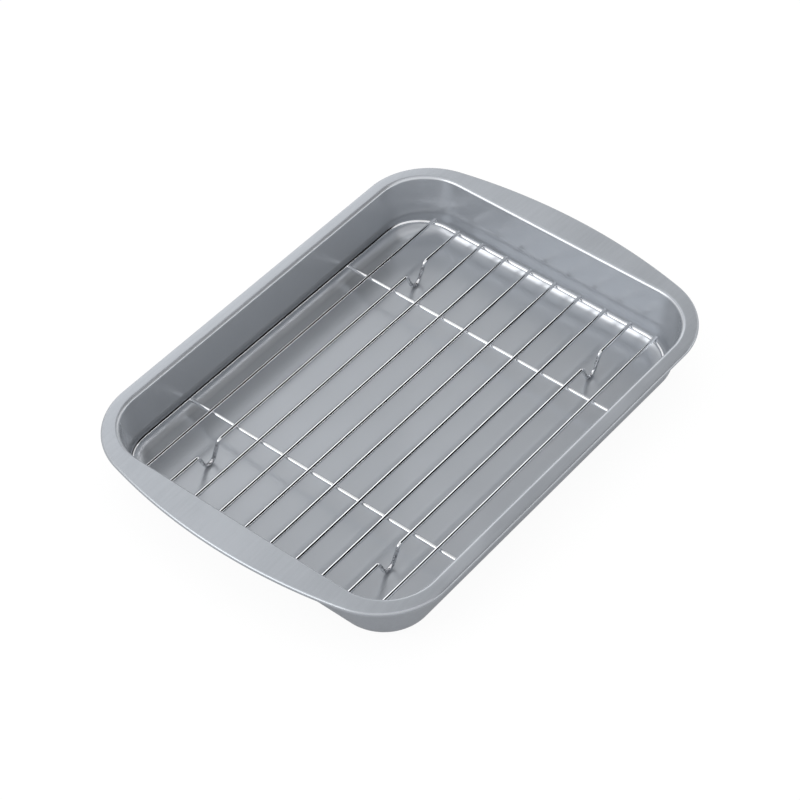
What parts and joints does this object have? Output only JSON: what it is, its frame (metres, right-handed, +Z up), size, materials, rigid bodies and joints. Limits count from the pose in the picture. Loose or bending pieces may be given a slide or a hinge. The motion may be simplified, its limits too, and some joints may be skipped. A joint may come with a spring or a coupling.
{
  "type": "draining tray with rack",
  "caption": "Rectangular metal baking tray with sloping walls, a wide rolled-edge rim that forms end handles, and a lift-out wire rack on bent feet for draining food.",
  "frame": {"origin": "middle of the underside of the floor, on the surface that the tray stands on", "axes": "+X along the tray from handle to handle, +Y across it, +Z up out of the mouth"},
  "size_m": [0.4, 0.28, 0.0485],
  "materials": {
    "coated_steel": "satin silver-grey non-stick coating on pressed sheet steel",
    "chromed_rod": "bright chrome plating on welded steel rod"
  },
  "bodies": {
    "tray": {"tray_pan": "coated_steel"},
    "rack": {"rack_frame": "chromed_rod", "rack_crossbar_left": "chromed_rod", "rack_crossbar_right": "chromed_rod", "rack_wire_01": "chromed_rod", "rack_wire_03": "chromed_rod", "rack_wire_04": "chromed_rod", "rack_wire_05": "chromed_rod", "rack_wire_06": "chromed_rod", "rack_wire_07": "chromed_rod", "rack_wire_08": "chromed_rod", "rack_wire_10": "chromed_rod", "rack_foot_wire_02": "chromed_rod", "rack_foot_wire_09": "chromed_rod"}
  },
  "joints": [
    {"name": "rack_lift", "type": "slide", "parent": "tray", "child": "rack", "axis": [0, 0, 1], "range_m": [0, 0.1]}
  ]
}
